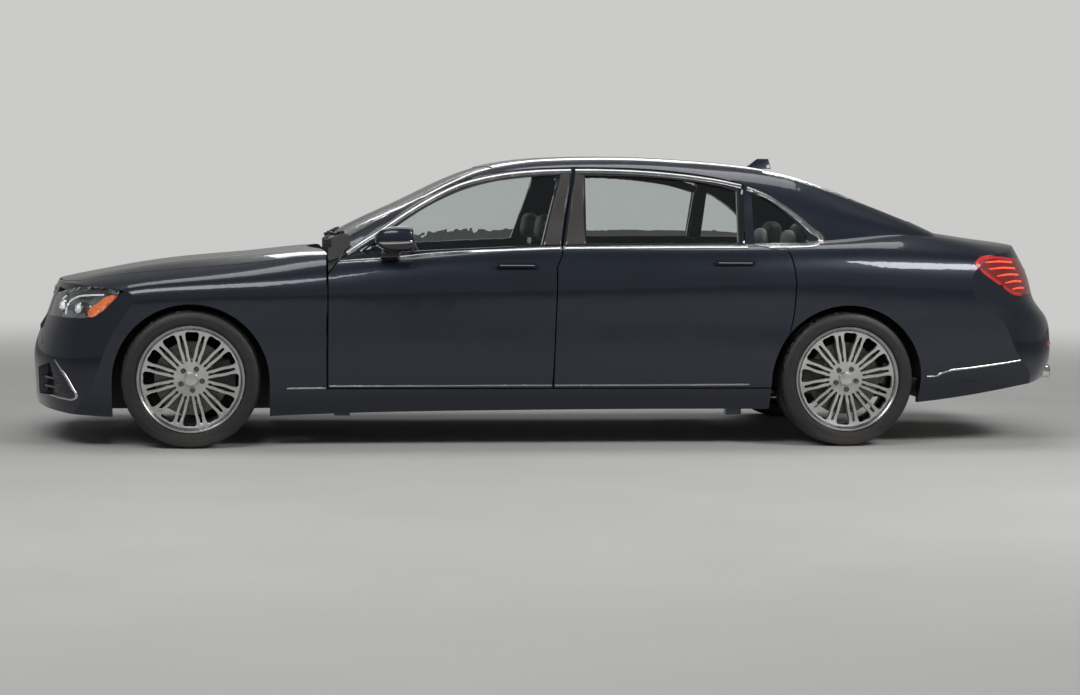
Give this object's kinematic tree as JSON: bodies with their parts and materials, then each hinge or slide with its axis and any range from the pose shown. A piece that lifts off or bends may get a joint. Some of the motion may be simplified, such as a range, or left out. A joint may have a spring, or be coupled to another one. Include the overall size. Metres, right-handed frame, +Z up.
{
  "type": "luxury sedan",
  "caption": "Long-wheelbase four-door luxury sedan with opening doors, hood and trunk, steered front wheels and a furnished cabin.",
  "frame": {"origin": "on the floor, midway between the bumper tips, on the car's centre line", "axes": "+X to the rear along the length, +Y to the car's right, +Z up"},
  "size_m": [5.4531, 2.124, 1.4989],
  "materials": {
    "body_paint": "gloss",
    "underbody": "matte",
    "tinted_glass": "gloss",
    "headlamp": "gloss",
    "tail_lamp": "gloss",
    "bright_trim": "gloss",
    "wheel_silver": "satin",
    "tyre_rubber": "matte",
    "cabin_plastic": "matte",
    "dark_leather": "satin",
    "engine_casting": "matte",
    "chassis_iron": "matte",
    "exhaust_steel": "satin"
  },
  "bodies": {
    "body": {"front_structure": "body_paint", "floor_pan": "underbody", "rear_structure": "body_paint", "body_side_left": "body_paint", "body_side_right": "body_paint", "roof_panel": "body_paint", "fender_left": "body_paint", "fender_right": "body_paint", "front_bumper": "body_paint", "rear_bumper": "body_paint", "grille": "bright_trim", "headlamps": "headlamp", "tail_lamps": "tail_lamp", "windscreen": "tinted_glass", "rear_windows": "tinted_glass", "dashboard": "cabin_plastic", "front_seats": "dark_leather", "rear_seats": "dark_leather", "engine_block": "engine_casting", "front_subframe": "chassis_iron", "rear_axle": "chassis_iron", "exhaust": "exhaust_steel"},
    "hood": {"hood": "body_paint"},
    "trunk_lid": {"trunk_lid": "body_paint"},
    "door_front_left": {"door_front_left": "body_paint", "glass_front_left": "tinted_glass", "mirror_left": "body_paint"},
    "door_front_right": {"door_front_right": "body_paint", "glass_front_right": "tinted_glass", "mirror_right": "body_paint"},
    "door_rear_left": {"door_rear_left": "body_paint", "glass_rear_left": "tinted_glass"},
    "door_rear_right": {"door_rear_right": "body_paint", "glass_rear_right": "tinted_glass"},
    "knuckle_front_left": {"knuckle_front_left": "chassis_iron"},
    "knuckle_front_right": {"knuckle_front_right": "chassis_iron"},
    "wheel_front_left": {"tyre_front_left": "tyre_rubber", "rim_front_left": "wheel_silver"},
    "wheel_front_right": {"tyre_front_right": "tyre_rubber", "rim_front_right": "wheel_silver"},
    "wheel_rear_left": {"tyre_rear_left": "tyre_rubber", "rim_rear_left": "wheel_silver"},
    "wheel_rear_right": {"tyre_rear_right": "tyre_rubber", "rim_rear_right": "wheel_silver"},
    "steering_wheel": {"steering_wheel": "cabin_plastic"}
  },
  "joints": [
    {"name": "hood_hinge", "type": "hinge", "parent": "body", "child": "hood", "pos_m": [-1.2095, 0, 0.972], "axis": [0, 1, 0], "range_deg": [0, 50]},
    {"name": "trunk_hinge", "type": "hinge", "parent": "body", "child": "trunk_lid", "pos_m": [2.0005, 0, 1.106], "axis": [0, -1, 0], "range_deg": [0, 70]},
    {"name": "door_front_left_hinge", "type": "hinge", "parent": "body", "child": "door_front_left", "pos_m": [-1.1335, -0.92, 0.6], "axis": [0, 0, -1], "range_deg": [0, 66]},
    {"name": "door_rear_left_hinge", "type": "hinge", "parent": "body", "child": "door_rear_left", "pos_m": [0.026, -0.92, 0.6], "axis": [0, 0, -1], "range_deg": [0, 66]},
    {"name": "door_front_right_hinge", "type": "hinge", "parent": "body", "child": "door_front_right", "pos_m": [-1.1335, 0.92, 0.6], "axis": [0, 0, 1], "range_deg": [0, 66]},
    {"name": "door_rear_right_hinge", "type": "hinge", "parent": "body", "child": "door_rear_right", "pos_m": [0.026, 0.92, 0.6], "axis": [0, 0, 1], "range_deg": [0, 66]},
    {"name": "steer_left", "type": "hinge", "parent": "body", "child": "knuckle_front_left", "pos_m": [-1.8815, -0.767, 0.35], "axis": [0, 0, 1], "range_deg": [-35, 35]},
    {"name": "steer_right", "type": "hinge", "parent": "body", "child": "knuckle_front_right", "pos_m": [-1.8815, 0.767, 0.35], "axis": [0, 0, 1], "range_deg": [-35, 35]},
    {"name": "wheel_front_left_spin", "type": "hinge", "parent": "knuckle_front_left", "child": "wheel_front_left", "pos_m": [-1.8815, -0.812, 0.35], "axis": [0, 1, 0], "continuous": true},
    {"name": "wheel_rear_left_spin", "type": "hinge", "parent": "body", "child": "wheel_rear_left", "pos_m": [1.4835, -0.803, 0.35], "axis": [0, 1, 0], "continuous": true},
    {"name": "wheel_front_right_spin", "type": "hinge", "parent": "knuckle_front_right", "child": "wheel_front_right", "pos_m": [-1.8815, 0.812, 0.35], "axis": [0, 1, 0], "continuous": true},
    {"name": "wheel_rear_right_spin", "type": "hinge", "parent": "body", "child": "wheel_rear_right", "pos_m": [1.4835, 0.803, 0.35], "axis": [0, 1, 0], "continuous": true},
    {"name": "steering_wheel_turn", "type": "hinge", "parent": "body", "child": "steering_wheel", "pos_m": [-0.6915, -0.37, 0.905], "axis": [0.9135, 0, 0.4067], "range_deg": [-495, 495]}
  ],
  "couplings": [
    {"joint": "steer_right", "follows": "steer_left", "ratio": 1},
    {"joint": "steering_wheel_turn", "follows": "steer_left", "ratio": 14}
  ]
}
